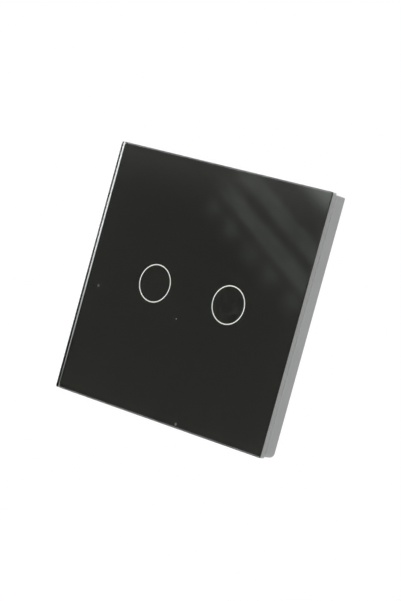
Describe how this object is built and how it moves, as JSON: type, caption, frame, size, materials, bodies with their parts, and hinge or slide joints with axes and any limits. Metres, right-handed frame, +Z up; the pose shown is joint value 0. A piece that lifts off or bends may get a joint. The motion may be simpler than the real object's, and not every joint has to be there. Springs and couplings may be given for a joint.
{
  "type": "touch light switch",
  "caption": "Square glass touch light switch with ring marks, moulded frame, steel mounting plate and in-wall relay module.",
  "frame": {"origin": "midway between the fixing slots, in the plane of the wall behind the mounting plate", "axes": "+X to the right seen from the room, +Y into the wall, +Z up"},
  "size_m": [0.08, 0.0288, 0.08],
  "materials": {
    "clear_glass": "polished toughened glass",
    "black_print": "fired black print seen through the glass",
    "white_ink": "translucent off-white print",
    "tape": "black acrylic foam tape",
    "frame_plastic": "fine satin moulded grey",
    "steel": "zinc plated sheet",
    "cover_plastic": "black moulded",
    "milky_plastic": "milky light guide",
    "spring_wire": "tinned spring wire",
    "led": "white lamp body with resin lens",
    "green_board": "solder-masked glass epoxy",
    "chip_plastic": "moulded epoxy",
    "tin": "tinned pins",
    "film_yellow": "cast film capacitor",
    "can_sleeve": "shrunk sleeve",
    "varistor_blue": "dipped coating",
    "fuse_brown": "moulded",
    "ferrite": "ground ferrite",
    "winding_tape": "tape over copper winding",
    "relay_shell": "moulded relay case",
    "relay_nylon": "moulded nylon",
    "copper_winding": "enamelled copper",
    "soft_iron": "plated soft iron",
    "contact_copper": "rolled copper alloy",
    "housing_plastic": "white polycarbonate",
    "block_plastic": "moulded polyamide",
    "clamp_brass": "tinned brass",
    "screw_steel": "zinc plated"
  },
  "bodies": {
    "base": {"mounting_plate": "steel", "front_cover": "cover_plastic", "left_light_guide": "milky_plastic", "right_light_guide": "milky_plastic", "left_touch_spring": "spring_wire", "right_touch_spring": "spring_wire", "left_indicator_led": "led", "right_indicator_led": "led", "touch_board": "green_board", "touch_chip": "chip_plastic", "board_link_spacer": "chip_plastic", "board_link_pins": "tin", "power_board": "green_board", "supply_chip": "chip_plastic", "bridge_rectifier": "chip_plastic", "film_capacitor": "film_yellow", "filter_capacitor": "can_sleeve", "output_capacitor": "can_sleeve", "varistor": "varistor_blue", "fuse": "fuse_brown", "transformer_core": "ferrite", "transformer_winding": "winding_tape", "terminal_block": "block_plastic", "terminal_bars": "clamp_brass", "rear_housing": "housing_plastic", "case_screws": "screw_steel", "left_relay_cover": "relay_shell", "left_relay_base": "relay_nylon", "left_relay_bobbin": "relay_nylon", "left_relay_coil": "copper_winding", "left_relay_yoke": "soft_iron", "left_relay_fixed_contact": "contact_copper", "right_relay_cover": "relay_shell", "right_relay_base": "relay_nylon", "right_relay_bobbin": "relay_nylon", "right_relay_coil": "copper_winding", "right_relay_yoke": "soft_iron", "right_relay_fixed_contact": "contact_copper"},
    "panel": {"glass_panel": "clear_glass", "black_back_print": "black_print", "left_ring_print": "white_ink", "right_ring_print": "white_ink", "bonding_tape": "tape", "panel_frame": "frame_plastic"},
    "left_armature": {"left_relay_armature": "soft_iron", "left_relay_moving_contact": "contact_copper"},
    "right_armature": {"right_relay_armature": "soft_iron", "right_relay_moving_contact": "contact_copper"},
    "left_screw": {"left_terminal_screw": "screw_steel"},
    "left_clamp": {"left_terminal_clamp": "clamp_brass"},
    "mid_left_screw": {"mid_left_terminal_screw": "screw_steel"},
    "mid_left_clamp": {"mid_left_terminal_clamp": "clamp_brass"},
    "mid_right_screw": {"mid_right_terminal_screw": "screw_steel"},
    "mid_right_clamp": {"mid_right_terminal_clamp": "clamp_brass"},
    "right_screw": {"right_terminal_screw": "screw_steel"},
    "right_clamp": {"right_terminal_clamp": "clamp_brass"}
  },
  "joints": [
    {"name": "panel_pull_off", "type": "slide", "parent": "base", "child": "panel", "axis": [0, -1, 0], "range_m": [0, 0.025]},
    {"name": "left_relay_pull_in", "type": "hinge", "parent": "base", "child": "left_armature", "pos_m": [-0.01555, 0.01524, 0.0062], "axis": [1, 0, 0], "range_deg": [0, 4], "stiffness_Nm_per_rad": 0.001, "springref_deg": -20.05},
    {"name": "right_relay_pull_in", "type": "hinge", "parent": "base", "child": "right_armature", "pos_m": [0.01555, 0.01524, 0.0062], "axis": [1, 0, 0], "range_deg": [0, 4], "stiffness_Nm_per_rad": 0.001, "springref_deg": -20.05},
    {"name": "left_clamp_rise", "type": "slide", "parent": "base", "child": "left_clamp", "axis": [0, 1, 0], "range_m": [0, 0.002]},
    {"name": "left_screw_turn", "type": "hinge", "parent": "base", "child": "left_screw", "pos_m": [-0.00762, 0.01869, -0.0181], "axis": [0, -1, 0], "range_deg": [0, 1440.5]},
    {"name": "mid_left_clamp_rise", "type": "slide", "parent": "base", "child": "mid_left_clamp", "axis": [0, 1, 0], "range_m": [0, 0.002]},
    {"name": "mid_left_screw_turn", "type": "hinge", "parent": "base", "child": "mid_left_screw", "pos_m": [-0.00254, 0.01869, -0.0181], "axis": [0, -1, 0], "range_deg": [0, 1440.5]},
    {"name": "mid_right_clamp_rise", "type": "slide", "parent": "base", "child": "mid_right_clamp", "axis": [0, 1, 0], "range_m": [0, 0.002]},
    {"name": "mid_right_screw_turn", "type": "hinge", "parent": "base", "child": "mid_right_screw", "pos_m": [0.00254, 0.01869, -0.0181], "axis": [0, -1, 0], "range_deg": [0, 1440.5]},
    {"name": "right_clamp_rise", "type": "slide", "parent": "base", "child": "right_clamp", "axis": [0, 1, 0], "range_m": [0, 0.002]},
    {"name": "right_screw_turn", "type": "hinge", "parent": "base", "child": "right_screw", "pos_m": [0.00762, 0.01869, -0.0181], "axis": [0, -1, 0], "range_deg": [0, 1440.5]}
  ],
  "couplings": [
    {"joint": "left_screw_turn", "follows": "left_clamp_rise", "rad_per_m": 12566},
    {"joint": "mid_left_screw_turn", "follows": "mid_left_clamp_rise", "rad_per_m": 12566},
    {"joint": "mid_right_screw_turn", "follows": "mid_right_clamp_rise", "rad_per_m": 12566},
    {"joint": "right_screw_turn", "follows": "right_clamp_rise", "rad_per_m": 12566}
  ]
}
